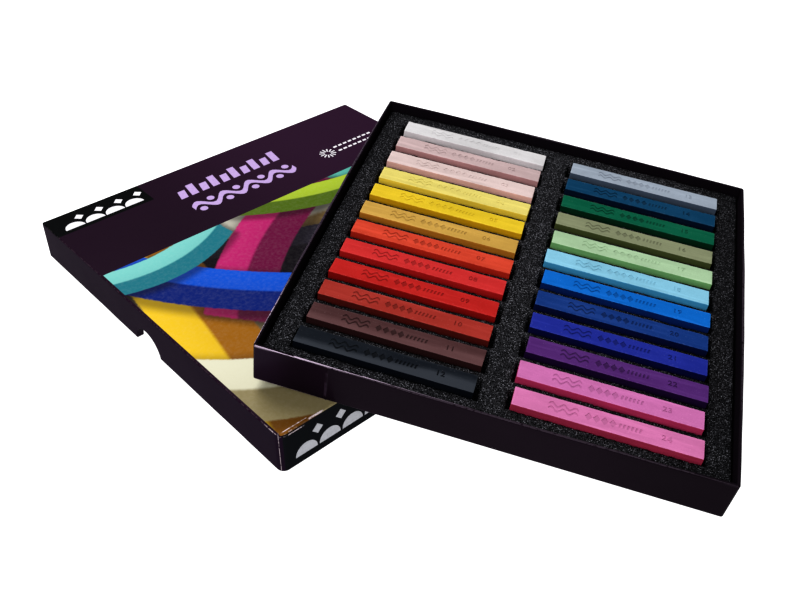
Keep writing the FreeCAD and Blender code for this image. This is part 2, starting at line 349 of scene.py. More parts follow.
class Nodes:
    """Adds shader nodes to a tree. An input is a plain value or another node's output."""

    def __init__(self, tree):
        self.tree = tree

    def add(self, kind, inputs=(), output=0, **settings):
        node = self.tree.nodes.new("ShaderNode" + kind)
        for key, value in settings.items():
            setattr(node, key, value)
        for key, value in dict(inputs).items():
            self.feed(node.inputs[key], value)
        return node.outputs[output]

    def feed(self, socket, value):
        if isinstance(value, bpy.types.NodeSocket):
            self.tree.links.new(value, socket)
        else:
            socket.default_value = value

    def math(self, operation, a, b=0.0):
        return self.add("Math", {0: a, 1: b}, operation=operation)

    def times(self, product, *factors):
        for factor in factors:
            product = self.math("MULTIPLY", product, factor)
        return product

    def place(self):
        return self.add("TexCoord", output="Object")

    def moved(self, vector, offset):
        return self.add("VectorMath", {0: vector, 1: offset}, operation="ADD")

    def split(self, vector):
        node = self.tree.nodes.new("ShaderNodeSeparateXYZ")
        self.feed(node.inputs[0], vector)
        return node.outputs

    def noise(self, vector, scale, detail=2.0, roughness=0.5, stretch=None):
        if stretch:
            vector = self.add("VectorMath", {0: vector, 1: stretch}, operation="MULTIPLY")
        inputs = {"Vector": vector, "Scale": scale, "Detail": detail, "Roughness": roughness}
        return self.add("TexNoise", inputs)

    def fade(self, value, start, end, low=0.0, high=1.0):
        """A soft step: low before start, high after end."""
        inputs = {"Value": value, "From Min": start, "From Max": end, "To Min": low, "To Max": high}
        return self.add("MapRange", inputs, interpolation_type="SMOOTHSTEP")

    def scale(self, share, low, high):
        """An even step: low at 0, high at 1."""
        return self.add("MapRange", {"Value": share, "To Min": low, "To Max": high})

    def mix(self, share, under, over, blend="MIX"):
        inputs = {"Factor": share, 6: under, 7: over}
        return self.add("Mix", inputs, output=2, data_type="RGBA", blend_type=blend)

    def between(self, value, low, high, soft):
        """1 between low and high, 0 outside, with edges soft wide."""
        rise = self.fade(value, low - soft / 2, low + soft / 2)
        fall = self.fade(value, high - soft / 2, high + soft / 2, 1.0, 0.0)
        return self.times(rise, fall)

    def bump(self, height, strength, distance, under=None):
        inputs = {"Height": height, "Strength": strength, "Distance": distance}
        if under:
            inputs["Normal"] = under
        return self.add("Bump", inputs)


def start_material(name, roughness=0.5, specular=0.5):
    """A new material with plain values set, its nodes and its shader's inputs."""
    material = bpy.data.materials.new(name)
    material.use_nodes = True
    shader = material.node_tree.nodes["Principled BSDF"].inputs
    shader["Roughness"].default_value = roughness
    shader["Specular IOR Level"].default_value = specular
    return material, Nodes(material.node_tree), shader


def edge_distance(nodes, place, half):
    """How far a point on a box's surface is from its nearest edge; half is the box's half size."""
    gaps = []
    for axis, limit in zip(nodes.split(place), half):
        gaps.append(nodes.math("SUBTRACT", limit, nodes.math("ABSOLUTE", axis)))
    a, b, c = gaps
    lower = nodes.math("MINIMUM", a, b)
    upper = nodes.math("MAXIMUM", a, b)
    return nodes.math("MAXIMUM", lower, nodes.math("MINIMUM", upper, c))


def corner_distance(nodes, place, half):
    """How far a point of a standing box is from its front left top corner."""
    corner = (-half.x, -half.y, 2 * half.z)
    return nodes.add("VectorMath", {0: place, 1: corner}, output="Value", operation="DISTANCE")


# ---- materials

# A stick's screen colour on top, then the painted light and shade of its upright faces: how light they
# are, and their wash, from 0, a much fuller colour, to 1, no fuller. The pinks also lose blue there.
STICK_LOOKS = {
    "white": ((198, 196, 197), 1.25, 0.06), "dusty_pink": ((185, 164, 164), 1.0, 0.06),
    "pale_pink": ((202, 183, 180), 1.2, 0.06), "light_yellow": ((206, 193, 112), 1.25, 0.2),
    "yellow": ((208, 181, 49), 0.88, 0.3), "ochre": ((187, 152, 80), 0.88, 0.3),
    "orange_red": ((194, 75, 53), 0.84, 0.5), "red": ((187, 54, 54), 0.8, 0.5),
    "deep_red": ((177, 43, 40), 0.64, 0.5), "brown_red": ((157, 59, 50), 0.32, 0.9),
    "dark_brown": ((83, 56, 57), 0.28, 0.5), "blue_black": ((27, 32, 40), 0.2, 0.06),
    "grey_blue": ((150, 159, 171), 0.4, 0.06), "petrol_blue": ((15, 70, 101), 0.3, 0.6),
    "dark_green": ((4, 96, 72), 0.36, 0.6), "olive_green": ((133, 138, 111), 0.4, 0.06),
    "light_green": ((161, 187, 154), 0.8, 0.06), "light_cyan": ((133, 184, 205), 0.88, 0.06),
    "azure": ((13, 108, 187), 0.31, 0.5), "mid_blue": ((27, 63, 125), 0.28, 0.4),
    "ultramarine": ((41, 53, 144), 0.23, 0.5), "violet": ((88, 48, 113), 0.26, 0.4),
    "bright_pink": ((190, 116, 166), 0.88, 0.06), "pink": ((197, 121, 165), 0.72, 0.06),
}
CRIMSON_SIDED = ("bright_pink", "pink")
CRIMSON_BLUE = 0.56
FULLNESS = 1.2

# How strongly the front of a stick's top is rubbed pale, with a painted sheen that widens it to the right.
RUBBED_FRONTS_AND_SHEEN = {"blue_black": 0.9, "dark_brown": 0.4}


def shade_of(colour, factor, lift=0.0):
    """A colour made lighter or darker by a factor and lifted evenly."""
    return (*[min(1.0, part * factor + lift) for part in colour[:3]], 1.0)


def painted_side_shade(name):
    """What the upright faces of a stick multiply its colour by: painted shade, and painted light on the
    palest sticks.
    """
    shown, light, wash = STICK_LOOKS[name]
    colour = srgb(*shown)[:3]
    full = [(part / max(colour)) ** FULLNESS for part in colour]
    red, green, blue = [light * (wash + (1 - wash) * part) for part in full]
    return (red, green, blue * (CRIMSON_BLUE if name in CRIMSON_SIDED else 1.0), 1.0)


def rub_edges(nodes, tone, place, colour):
    """Paler, broken lines along a stick's edges."""
    edge = edge_distance(nodes, nodes.place(), STICK_SIZE / 2)
    rubbed = nodes.times(nodes.fade(edge, 0.15 * MM, 0.75 * MM, 1.0, 0.0),
                         nodes.fade(nodes.noise(place, 900, 3), 0.4, 0.62))
    return nodes.mix(nodes.times(rubbed, 0.3), tone, shade_of(colour, 1.25, 0.06))


def rub_front_and_sheen(nodes, tone, place, colour, strength):
    """A pale streaky band along the front of a stick's top: rubbed chalk, widened to the right by a
    painted sheen.
    """
    streaky = nodes.noise(place, 330, 4, 0.65, (0.14, 1, 1))
    along, across, _ = nodes.split(nodes.place())
    front = nodes.math("ADD", across, nodes.times(streaky, 4.5 * MM))
    # Painted sheen: the band grows wider towards the stick's right end.
    front = nodes.math("SUBTRACT", front, nodes.fade(along, -12 * MM, 30 * MM, -0.3 * MM, 2.0 * MM))
    front = nodes.fade(front, -0.6 * MM, 2.6 * MM, strength, 0.0)
    return nodes.mix(front, tone, shade_of(colour, 1.8, 0.03))


def chalk(name, colour, shift, pressed=False, band=0.0, side=WHITE):
    """Dry pressed pigment: cloudy tone, fine grain, drawn streaks, paler rubbed edges and stray
    dust. Shift makes each stick's pattern its own, and side holds the painted light and shade of the
    upright faces."""
    material, nodes, shader = start_material(name, roughness=0.85, specular=0.12)
    place = nodes.moved(nodes.place(), shift)
    cloud = nodes.noise(place, 120, 4, 0.6, (0.5, 1, 1))
    grain = nodes.noise(place, 2400, 3, 0.65)
    tone = nodes.mix(nodes.fade(cloud, 0.3, 0.7), shade_of(colour, 0.9), shade_of(colour, 1.06, 0.004))
    tone = nodes.mix(nodes.fade(grain, 0.25, 0.75, 0.0, 0.5), tone, shade_of(colour, 0.84))
    drawn = nodes.noise(place, 430, 3, 0.6, (0.07, 1, 1))
    tone = nodes.mix(nodes.fade(drawn, 0.5, 0.72, 0.0, 0.55), tone, shade_of(colour, 1.2, 0.012))
    if not pressed:
        tone = rub_edges(nodes, tone, place, colour)
    dust = nodes.fade(nodes.noise(place, 1500, 1, 0.4), 0.69, 0.74, 0.0, 0.25)
    tone = nodes.mix(dust, tone, shade_of(colour, 1.1, 0.12))
    if band:
        tone = rub_front_and_sheen(nodes, tone, place, colour, band)
    # Painted light and shade: the upright faces are multiplied by the side tint.
    facing = nodes.split(nodes.add("TexCoord", output="Normal"))[2]
    upright = nodes.fade(nodes.math("ABSOLUTE", facing), 0.3, 0.7, 1.0, 0.0)
    nodes.feed(shader["Base Color"], nodes.mix(upright, tone, side, "MULTIPLY"))
    rough = nodes.bump(grain, 0.3, 0.05 * MM)
    rough = nodes.bump(nodes.noise(place, 500, 2, 0.5, (0.25, 1, 1)), 0.25, 0.08 * MM, rough)
    nodes.feed(shader["Normal"], rough)
    return material


def pressed_shade_chalk(name, colour, shift):
    """The same pigment in a pressed mark, darkened as painted shade in the hollow, and most so on dark
    colours.
    """
    red, green, blue = colour[:3]
    luminance = 0.21 * red + 0.72 * green + 0.07 * blue
    brightness = max((red + green + blue) / 3, luminance)
    return chalk(name, shade_of(colour, min(0.97, 0.5 + 0.9 * brightness)), shift, pressed=True)


def foam(name, glint=1.0):
    """Charcoal cut foam: black open cells between paler threads with glints of a given strength,
    and painted shade beside the tray's side walls."""
    material, nodes, shader = start_material(name, roughness=0.95, specular=0.05)
    place = nodes.place()
    warp = nodes.add("VectorMath", {0: nodes.noise(place, 900, 2), "Scale": 0.5 * MM}, operation="SCALE")
    moved = nodes.moved(place, warp)
    cells = nodes.add("TexVoronoi", {"Vector": moved, "Scale": 1500.0}, output="Distance",
                      feature="DISTANCE_TO_EDGE")
    threads = nodes.fade(cells, 0.02, 0.3, 1.0, 0.0)
    glints = {"Vector": moved, "Scale": 2000.0}
    chance = nodes.split(nodes.add("TexVoronoi", glints, output="Color"))[0]
    near = nodes.add("TexVoronoi", glints, output="Distance")
    sparkle = nodes.times(nodes.fade(chance, 0.25, 0.95), nodes.fade(near, 0.2, 0.5, 1.0, 0.0))
    patch = nodes.fade(nodes.noise(place, 260, 3), 0.35, 0.7, 0.6, 1.0)
    tone = nodes.mix(threads, srgb(10, 10, 11), srgb(50, 50, 53))
    tone = nodes.mix(nodes.times(sparkle, patch, glint), tone, srgb(168, 168, 176))
    # Painted shade beside the tray's side walls, deeper on the right.
    x = nodes.split(place)[0]
    wall_shade = nodes.math("ADD", nodes.fade(x, 45 * MM, 72 * MM, 0.0, 0.36),
                              nodes.fade(x, -72 * MM, -45 * MM, 0.18, 0.0))
    nodes.feed(shader["Base Color"], nodes.mix(wall_shade, tone, BLACK))
    hollow = nodes.bump(nodes.math("ADD", threads, sparkle), 0.9, 0.25 * MM)
    nodes.feed(shader["Normal"], hollow)
    return material


def ribbon_group():
    """One chalk ribbon laid over a picture: a curved band with a light and a dark face, grainy
    at its edges, over a soft shadow. Place has the band from -1 to 1 both ways."""
    tree = bpy.data.node_groups.new("chalk_ribbon", "ShaderNodeTree")
    for name, kind in (("Place", "Vector"), ("Grain", "Float"), ("Bend", "Float"), ("Fold", "Float"),
                       ("Light", "Color"), ("Dark", "Color"), ("Under", "Color")):
        tree.interface.new_socket(name=name, in_out="INPUT", socket_type="NodeSocket" + kind)
    tree.interface.new_socket(name="Over", in_out="OUTPUT", socket_type="NodeSocketColor")
    nodes = Nodes(tree)
    entry = tree.nodes.new("NodeGroupInput").outputs
    along, across, _ = nodes.split(entry["Place"])
    bent = nodes.math("SUBTRACT", across, nodes.times(entry["Bend"], nodes.times(along, along)))
    wobble = nodes.times(nodes.math("SUBTRACT", entry["Grain"], 0.5), 0.1)
    edge = nodes.math("ADD", nodes.math("ABSOLUTE", bent), wobble)
    end = nodes.math("ADD", nodes.math("ABSOLUTE", along), nodes.times(wobble, 0.4))
    inside = nodes.times(nodes.fade(edge, 0.93, 1.0, 1.0, 0.0), nodes.fade(end, 0.97, 1.0, 1.0, 0.0))
    fallen = nodes.math("ABSOLUTE", nodes.math("ADD", bent, 0.18))
    shadow = nodes.times(nodes.fade(fallen, 0.95, 1.45, 0.55, 0.0), nodes.fade(end, 0.98, 1.08, 1.0, 0.0))
    ground = nodes.mix(shadow, entry["Under"], (0.01, 0.008, 0.01, 1))
    face = nodes.fade(nodes.math("ADD", bent, nodes.times(wobble, 0.3)),
                      nodes.math("SUBTRACT", entry["Fold"], 0.06), nodes.math("ADD", entry["Fold"], 0.06))
    body = nodes.mix(face, entry["Dark"], entry["Light"])
    body = nodes.mix(nodes.fade(bent, -1.0, 1.0, 0.28, 0.0), body, entry["Dark"])
    body = nodes.mix(nodes.fade(entry["Grain"], 0.35, 0.8, 0.0, 0.04), body, (0.9, 0.88, 0.82, 1))
    group_output = tree.nodes.new("NodeGroupOutput")
    nodes.feed(group_output.inputs["Over"], nodes.mix(inside, ground, body))
    return tree


# The picture on the lid, from the lowest ribbon to the uppermost: middle x and y in millimetres,
# turn in degrees, length and width in millimetres, bend and fold as shares of the half width,
# then the light and the dark face.
RIBBONS = [
    (0, 26, -10, 260, 64, 0.3, -0.4, (178, 177, 166), (118, 98, 62)),
    (62, 10, 74, 90, 24, 0.5, 0.0, (120, 84, 168), (62, 36, 100)),
    (40, -30, 30, 120, 28, 0.5, 0.1, (206, 88, 46), (138, 42, 26)),
    (10, -66, -8, 110, 22, -0.6, 0.0, (150, 196, 216), (66, 116, 152)),
    (-40, 6, -28, 150, 34, 0.5, 0.2, (50, 46, 58), (26, 20, 30)),
    (34, 6, 58, 150, 34, 0.5, 0.1, (96, 170, 158), (24, 88, 96)),
    (-70, -8, 82, 200, 34, 0.5, 0.0, (216, 182, 42), (148, 100, 22)),
    (-22, 12, 36, 110, 28, -0.6, 0.0, (176, 46, 110), (106, 24, 68)),
    (-50, -12, -48, 110, 26, 0.6, 0.0, (22, 88, 190), (12, 38, 112)),
    (18, 24, -18, 84, 20, 0.8, 0.0, (162, 182, 60), (84, 106, 32)),
    (-60, 22, 6, 64, 20, 0.9, 0.0, (124, 190, 184), (40, 116, 128)),
    (-66, -70, -26, 90, 34, 0.7, 0.0, (206, 204, 182), (138, 128, 96)),
]


def picture(nodes, place):
    """Chalk ribbons, each laid over the one before."""
    group = ribbon_group()
    grain = nodes.noise(place, 700, 4, 0.7)
    tone = nodes.mix(nodes.noise(place, 14, 2), srgb(120, 96, 54), srgb(196, 188, 158))
    for x, y, turn, length, width, bend, fold, light, dark in RIBBONS:
        inputs = {
            "Vector": place,
            "Location": (x * MM, y * MM, 0),
            "Rotation": (0, 0, math.radians(turn)),
            "Scale": (length / 2 * MM, width / 2 * MM, 1),
        }
        laid = nodes.add("Mapping", inputs, vector_type="TEXTURE")
        ribbon = nodes.tree.nodes.new("ShaderNodeGroup")
        ribbon.node_tree = group
        values = {"Place": laid, "Grain": grain, "Bend": bend, "Fold": fold,
                  "Light": srgb(*light), "Dark": srgb(*dark), "Under": tone}
        for key, value in values.items():
            nodes.feed(ribbon.inputs[key], value)
        tone = ribbon.outputs["Over"]
    return tone


AUBERGINE = srgb(38, 21, 37)
SIDE_AUBERGINE = srgb(34, 24, 37)
BLACK_PRINT = srgb(11, 12, 14)
WORN_BOARD = srgb(214, 200, 204)


def card_wear(nodes, place, half, width, where, sparse=0.47):
    """Rubbed folds: broken pale flecks along the edges of a standing box, strongest where asked."""
    edge = edge_distance(nodes, nodes.moved(place, (0, 0, -half.z)), half)
    flecks = nodes.fade(nodes.noise(place, 650, 4, 0.7), sparse, sparse + 0.09)
    ragged_edge = nodes.math("ADD", edge, nodes.times(nodes.noise(place, 1500, 2), width * 0.8))
    line = nodes.fade(ragged_edge, width * 1.2, width * 1.7, 1.0, 0.0)
    return nodes.times(line, flecks, where)


def streak(nodes, across, at, width, along, start, end):
    """A scuffed line: thin across, running from start to end along."""
    return nodes.times(nodes.between(across, at - width / 2, at + width / 2, 0.15 * MM),
                       nodes.between(along, start, end, 1.5 * MM))


def peel(nodes, place, fine_scale, fine_strength, broad_scale, broad_strength):
    """The slight unevenness of laminated card."""
    fine = nodes.bump(nodes.noise(place, fine_scale, 2), fine_strength, 0.05 * MM)
    return nodes.bump(nodes.noise(place, broad_scale, 2), broad_strength, 0.6 * MM, fine)


def lid_top_print(nodes, place, half, mottle):
    """Aubergine header, lighter to the right by a painted sheen, with a black badge, above the picture."""
    x, y, _ = nodes.split(place)
    crisp = 0.05 * MM
    tone = nodes.mix(mottle, AUBERGINE, shade_of(AUBERGINE, 1.15))
    # Painted sheen: the header grows lighter to the right.
    tone = nodes.mix(nodes.fade(x, -50 * MM, 45 * MM), tone, shade_of(AUBERGINE, 1.9))
    badge = nodes.times(nodes.between(x, -half.x, -half.x + BADGE.x, crisp),
                        nodes.between(y, half.y - BADGE.y, half.y, crisp))
    tone = nodes.mix(badge, tone, BLACK_PRINT)
    header_line = half.y - HEADER_DEPTH
    pictured = nodes.times(nodes.fade(y, header_line, header_line + crisp, 1.0, 0.0),
                           nodes.between(x, -half.x + PICTURE_MARGIN, half.x - PICTURE_MARGIN, crisp))
    return nodes.mix(pictured, tone, picture(nodes, place))


def lid_wear(nodes, place, half, on_top):
    """Where the lid's board shows: flecks along its folds, and at the front left corner a bare
    edge and a rubbed fold on top, a rubbed line on the front and a crease down the corner."""
    x, y, z = nodes.split(place)
    high, left, fore = LID_HIGH.z, -half.x, -half.y
    near_corner = nodes.fade(corner_distance(nodes, place, half), 3 * MM, 12 * MM, 0.6, 0.05)
    worn = card_wear(nodes, place, half, 0.3 * MM, near_corner)
    bare_edge = streak(nodes, y, fore + 1.25 * MM, 0.35 * MM, x, left + 2 * MM, left + 12 * MM)
    rubbed_fold = streak(nodes, y, fore + 0.4 * MM, 0.6 * MM, x, left + 12.5 * MM, left + 18.5 * MM)
    rubbed_front = streak(nodes, z, high - 1.3 * MM, 0.5 * MM, x, left + 1 * MM, left + 10 * MM)
    diagonal = nodes.math("SUBTRACT", x, y)
    crease = streak(nodes, diagonal, left - fore - 0.75 * MM, 0.3 * MM, z, 0.4 * MM, high)
    at_corner = nodes.fade(nodes.math("ADD", x, y), left + fore + 3 * MM, left + fore + 3.5 * MM, 1.0, 0.0)
    on_upright = nodes.math("MAXIMUM", nodes.times(rubbed_front, 0.6), nodes.times(crease, at_corner, 0.5))
    on_folds = nodes.times(nodes.math("MAXIMUM", bare_edge, rubbed_fold), on_top)
    gaps = nodes.fade(nodes.noise(place, 600, 3, 0.6), 0.42, 0.5)
    worn = nodes.math("MAXIMUM", worn, nodes.times(on_upright, gaps))
    return nodes.math("MAXIMUM", worn, nodes.times(on_folds, nodes.fade(gaps, 0, 1, 0.3, 1.0)))


def lid_paper(name, specular):
    """Laminated print: header and picture on top, a black front panel and aubergine sides, with
    folds rubbed pale."""
    material, nodes, shader = start_material(name, specular=specular)
    place = nodes.place()
    _, y, z = nodes.split(place)
    half = (LID_HIGH - LID_LOW) / 2
    mottle = nodes.noise(place, 40, 3)
    side = nodes.mix(mottle, SIDE_AUBERGINE, shade_of(SIDE_AUBERGINE, 1.25))
    front = nodes.fade(y, -half.y + 0.3 * MM, -half.y + 0.5 * MM, 1.0, 0.0)
    side = nodes.mix(front, side, shade_of(BLACK_PRINT, 3.2))
    top_edge = LID_HIGH.z - LID_TOP_DEPTH
    on_top = nodes.fade(z, top_edge - 0.1 * MM, top_edge + 0.1 * MM)
    tone = nodes.mix(on_top, side, lid_top_print(nodes, place, half, mottle))
    worn = lid_wear(nodes, place, half, on_top)
    nodes.feed(shader["Base Color"], nodes.mix(worn, tone, WORN_BOARD))
    nodes.feed(shader["Roughness"], nodes.scale(worn, 0.34, 0.8))
    nodes.feed(shader["Normal"], peel(nodes, place, 900, 0.12, 45, 0.25))
    return material


def tray_wear_and_highlight(nodes, place, half):
    """Flecks along its folds where the tray's board shows, and a painted highlight, a broken pale
    line along the front of its rim; both strongest at the front left corner."""
    x, y, z = nodes.split(place)
    corner_wear = nodes.fade(corner_distance(nodes, place, half), 4 * MM, 40 * MM, 0.8, 0.05)
    flecks = card_wear(nodes, place, half, 0.22 * MM, corner_wear, sparse=0.37)
    high, left, fore = TRAY_HIGH.z, -half.x, -half.y
    # Painted highlight along the outer edge of the rim, fading away from the front left corner.
    line = streak(nodes, y, fore + 0.2 * MM, 0.5 * MM, z, high - 0.45 * MM, high + 1 * MM)
    line = nodes.times(line, nodes.fade(x, left + 22 * MM, left + 90 * MM, 0.8, 0.03),
                       nodes.fade(nodes.noise(place, 350, 3), 0.3, 0.42, 0.25, 1.0))
    return nodes.math("MAXIMUM", flecks, line)


def tray_paper():
    """Laminated aubergine wrap, with a painted reflection that makes its left end paler, a painted
    highlight on the seam, painted shade to the right, worn flecks and a painted highlight along the rim."""
    material, nodes, shader = start_material("tray_wrap", specular=0.03)
    place = nodes.place()
    x, _, z = nodes.split(place)
    half = (TRAY_HIGH - TRAY_LOW) / 2
    tone = nodes.mix(nodes.noise(place, 30, 3), srgb(24, 16, 24), srgb(31, 20, 31))
    # Painted shade: darker towards the right end.
    tone = nodes.mix(nodes.fade(x, 10 * MM, half.x, 0.0, 0.35), tone, BLACK)
    # Painted reflection: paler at the left end.
    left_end_reflection = nodes.fade(x, -half.x + 4 * MM, -half.x + 16 * MM, 0.5, 0.0)
    tone = nodes.mix(left_end_reflection, tone, srgb(42, 29, 46))
    # Painted highlight: a pale line down the raised seam.
    seam = streak(nodes, x, (2 * SEAM_SHARE - 1) * half.x + 0.4 * MM, 0.9 * MM, z, 2 * MM, 14 * MM)
    seam = nodes.times(seam, nodes.fade(nodes.noise(place, 240, 2), 0.35, 0.6, 0.1, 0.6))
    tone = nodes.mix(seam, tone, srgb(62, 50, 64))
    # Worn flecks together with the painted rim highlight.
    worn = tray_wear_and_highlight(nodes, place, half)
    nodes.feed(shader["Base Color"], nodes.mix(worn, tone, srgb(222, 204, 224)))
    nodes.feed(shader["Roughness"], nodes.scale(worn, 0.26, 0.8))
    nodes.feed(shader["Normal"], peel(nodes, place, 1100, 0.1, 55, 0.3))
    return material


def lining_paper(name, colour):
    """Matt lining paper with fine fibres."""
    material, nodes, shader = start_material(name, roughness=0.8, specular=0.08)
    place = nodes.place()
    fibre = nodes.noise(place, 1400, 4, 0.7, (1, 0.4, 1))
    cloud = nodes.times(nodes.noise(place, 60, 3), 0.4)
    tone = nodes.mix(fibre, shade_of(colour, 0.75), shade_of(colour, 1.3))
    tone = nodes.mix(cloud, tone, shade_of(colour, 0.8))
    nodes.feed(shader["Base Color"], tone)
    nodes.feed(shader["Normal"], nodes.bump(fibre, 0.3, 0.06 * MM))
    return material


def ink(name, colour):
    """Opaque print on the laminate, slightly uneven."""
    material, nodes, shader = start_material(name, roughness=0.42, specular=0.15)
    uneven = nodes.noise(nodes.place(), 800, 4, 0.7)
    tone = nodes.mix(nodes.fade(uneven, 0.3, 0.7), shade_of(colour, 0.86), colour)
    nodes.feed(shader["Base Color"], tone)
    nodes.feed(shader["Normal"], nodes.bump(uneven, 0.15, 0.03 * MM))
    return material


# ---- lid

def make_lid():
    """Folded card shell with a thumb notch in each side wall."""
    width, depth, height = LID_HIGH - LID_LOW
    under_panel = height - LID_PANEL
    section = [(LID_WALL, under_panel), (LID_WALL, under_panel - 1 * MM), (LID_WALL, LID_EDGE)]
    section += arc(LID_WALL - LID_EDGE, LID_EDGE, LID_EDGE, 0, -90)[1:]
    section += arc(LID_EDGE, LID_EDGE, LID_EDGE, -90, -180)
    section += [(0, 0.3 * height), (0, 0.6 * height), (0, height - LID_FOLD)]
    section += arc(LID_FOLD, height - LID_FOLD, LID_FOLD, 180, 90)[1:]
    rings = []
    for inset, level in section:
        outside = inset < LID_WALL / 2 and level < height - LID_FOLD
        rings.append(ring(width - 2 * inset, depth - 2 * inset, drawn_in(LID_CORNERS, inset), level,
                          ripple=LID_RIPPLE if outside else 0.0))
    mesh = loft("lid_shell", rings)
    shell = add_piece("lid_shell", mesh, LID_SEAT, "lid_body", lid_paper("lid_top", 0.03),
                      lining_paper("lid_lining", srgb(38, 30, 40)), lid_paper("lid_side", 0.004))
    top, lining, side = range(3)
    for face in mesh.polygons:
        if lies_inside(face, width, depth, LID_WALL * 0.7) and face.center.z < height - LID_PANEL / 2:
            face.material_index = lining
        else:
            face.material_index = top if face.center.z >= height - LID_TOP_DEPTH else side
    cut(shell, notch_cutter(width))
    smooth(shell)
    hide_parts(LID)


def notch_cutter(width):
    """A round bar across the lid: its lower arc leaves the two thumb notches."""
    radius = (NOTCH_WIDTH ** 2 / 4 + NOTCH_HEIGHT ** 2) / (2 * NOTCH_HEIGHT)
    outline = disc(NOTCH_SHIFT, NOTCH_HEIGHT - radius, radius, 96)
    across = Matrix(((0, 0, 1), (1, 0, 0), (0, 1, 0))).to_4x4()
    return slab("notch_cutter", [outline], LID_SEAT @ across, None, 1.2 * width, -0.6 * width,
                lining_paper("notch_edge", srgb(34, 25, 36)))


def lid_print(name, outlines, material, seat=LID_SEAT, base=LID_HIGH.z):
    """Ornament printed on the lid, from outlines in millimetres."""
    scaled = [[(x * MM, y * MM) for x, y in outline] for outline in outlines]
    piece = slab(name, scaled, seat, "lid_body", PRINT_THICKNESS, base, material)


def make_lid_ornament():
    """Plain geometric ornament on the badge, the header and the front panel, in millimetres."""
    white = ink("white_ink", srgb(232, 230, 234))
    lilac = ink("lilac_ink", srgb(186, 160, 208))
    silver = ink("silver_ink", srgb(174, 175, 181))
    scallops = [half_disc(-76.8 + 9.6 * k, 73.0, 4.5) for k in range(4)]
    scallops += [lozenge(-72.0 + 9.6 * k, 80.0, 4.4, 4.4) for k in range(4)]
    lid_print("lid_badge_scallops", scallops, white)
    bars = [slanted_bar(-30.8 + 5.7 * k, 61.8, 3.7, 6.6 + 2.8 * (k % 2), 1.7) for k in range(10)]
    lid_print("lid_title_bars", bars, lilac)
    beads = [wave(-30.8, 51.5, 56.0, 3.4, 2.9, 4)]
    beads += [disc(-27.3 + 14.0 * k, 48.7, 1.8) for k in range(4)]
    beads += [disc(-20.3 + 14.0 * k, 54.3, 1.8) for k in range(4)]
    lid_print("lid_title_wave", beads, lilac)
    lid_print("lid_count_burst", burst(45.2, 50.6, 1.6, 4.2, 12), white)
    dashes = [slanted_bar(50.8 + 3.1 * k, y, 2.1, 1.3, 0.3) for k in range(8) for y in (52.7, 48.5)]
    lid_print("lid_note_dashes", dashes, white)
    upright = Matrix(((1, 0, 0), (0, 0, -1), (0, 1, 0))).to_4x4()
    front = [half_disc(-75.6 + 10.2 * k, 3.4, 4.7) for k in range(5)]
    front += [lozenge(-70.5 + 10.2 * k, 11.2, 4.6, 4.6) for k in range(5)]
    lid_print("lid_front_scallops", front, silver, LID_SEAT @ upright, -LID_LOW.y)


# ---- tray

def make_tray():
    """Shallow card tray with a folded rim and walls that swell a little between the corners."""
    width, depth, height = TRAY_HIGH - TRAY_LOW
    rim = TRAY_WALL / 2
    section = [(TRAY_WALL, TRAY_FLOOR), (TRAY_WALL, 0.5 * height), (TRAY_WALL, height - rim)]
    section += arc(rim, height - rim, rim, 0, 180, 6)[1:]
    section += [(0, 0.75 * height), (0, 0.5 * height), (0, 0.25 * height), (0, TRAY_FOLD)]
    section += arc(TRAY_FOLD, TRAY_FOLD, TRAY_FOLD, 180, 270, 3)[1:]
    rings = []
    for inset, level in section:
        upwards = level / height
        rings.append(ring(width - 2 * inset, depth - 2 * inset, drawn_in(TRAY_CORNERS, inset), level,
                          TRAY_BOW * upwards, SEAM_SHARE, TRAY_RIPPLE * upwards))
    mesh = loft("tray_shell", rings)
    shell = add_piece("tray_shell", mesh, TRAY_SEAT, "tray_body",
                      tray_paper(), lining_paper("tray_lining", srgb(26, 19, 27)))
    wrap, lining = range(2)
    for face in mesh.polygons:
        inner = lies_inside(face, width, depth, TRAY_WALL * 0.2) and face.center.z > TRAY_FLOOR * 0.9
        face.material_index = lining if inner else wrap
    smooth(shell)
    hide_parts(TRAY)


# ---- foam

FOAM_STEP = 0.8 * MM
BED_STEP = 2.0 * MM
SWELLS_PER_METRE = 120
TEARS_PER_METRE = 700
NICKS_PER_METRE = 1400
TEAR_START = Vector((7, 3, 1))
TOUCHING = 1e-7


def marks(low, high, cuts, step):
    """Places from low to high about a step apart, one of them on each cut."""
    stops = sorted({low, high, *cuts})
    places = [low]
    for start, end in zip(stops, stops[1:]):
        count = max(1, round((end - start) / step))
        places += [start + (end - start) * k / count for k in range(1, count + 1)]
    return places


def slot_spans():
    """The slots' spans across the two columns and along the rows, in the tray's axes."""
    inner = COLUMN_GAP / 2 - SLOT_END_GAP
    outer = COLUMN_GAP / 2 + STICK_SIZE.x + SLOT_END_GAP
    half = STICK_SIZE.y / 2 + SLOT_SIDE_GAP
    to_tray = TRAY_SEAT.inverted()
    rows = [(to_tray @ centre(name)).y for name in STICKS[:ROWS]]
    return [(-outer, -inner), (inner, outer)], [(y - half, y + half) for y in sorted(rows)]


def covered(value, spans):
    """Whether a value lies strictly within any of the spans."""
    return any(low < value < high for low, high in spans)


